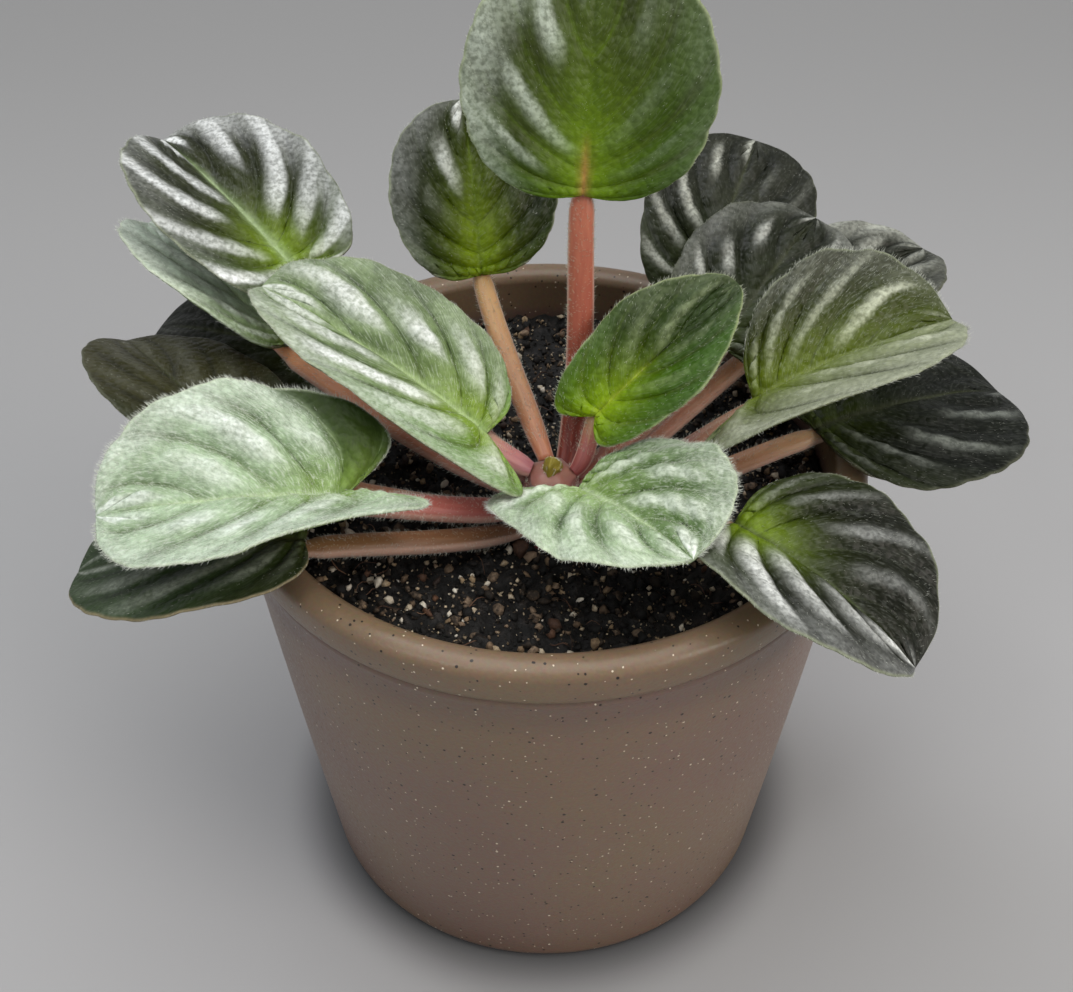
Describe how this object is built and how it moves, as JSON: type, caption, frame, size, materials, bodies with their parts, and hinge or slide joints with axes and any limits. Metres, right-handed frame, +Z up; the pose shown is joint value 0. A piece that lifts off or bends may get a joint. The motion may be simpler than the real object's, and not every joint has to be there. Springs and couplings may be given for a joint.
{
  "type": "potted african violet",
  "caption": "Foliage plant with stalked, quilted, folded leaves in a rosette, in a round tapered pot with a rolled rim.",
  "frame": {"origin": "on the pot's axis, at the flat face it stands on", "axes": "+Z up along the pot's axis; -Y is the front, the side with the open soil; +X to the right seen from the front"},
  "size_m": [0.192, 0.1399, 0.2055],
  "materials": {
    "pot": "satin speckled stoneware",
    "soil": "loose dark potting mix",
    "crown": "fleshy red-brown stem",
    "blade": "green, softly hairy, silvery on the raised parts",
    "stalk": "fleshy pink to orange-red, hairy"
  },
  "bodies": {
    "root": {"pot": "pot", "soil": "soil", "crown": "crown", "blade_tall": "blade", "blade_back_left": "blade", "blade_young_right": "blade", "blade_folded_right": "blade", "blade_back_right_upper": "blade", "blade_back_right_lower": "blade", "blade_far_right": "blade", "blade_side_right": "blade", "blade_front_right": "blade", "blade_young_front": "blade", "blade_front_left": "blade", "blade_mid_left": "blade", "blade_upper_left": "blade", "blade_under_left": "blade", "blade_low_left": "blade", "blade_low_back_left": "blade", "blade_low_front_left": "blade", "stalk_tall": "stalk", "stalk_back_left": "stalk", "stalk_young_right": "stalk", "stalk_folded_right": "stalk", "stalk_back_right_upper": "stalk", "stalk_back_right_lower": "stalk", "stalk_far_right": "stalk", "stalk_side_right": "stalk", "stalk_front_right": "stalk", "stalk_young_front": "stalk", "stalk_front_left": "stalk", "stalk_mid_left": "stalk", "stalk_upper_left": "stalk", "stalk_under_left": "stalk", "stalk_low_left": "stalk", "stalk_low_back_left": "stalk", "stalk_low_front_left": "stalk"}
  },
  "joints": []
}
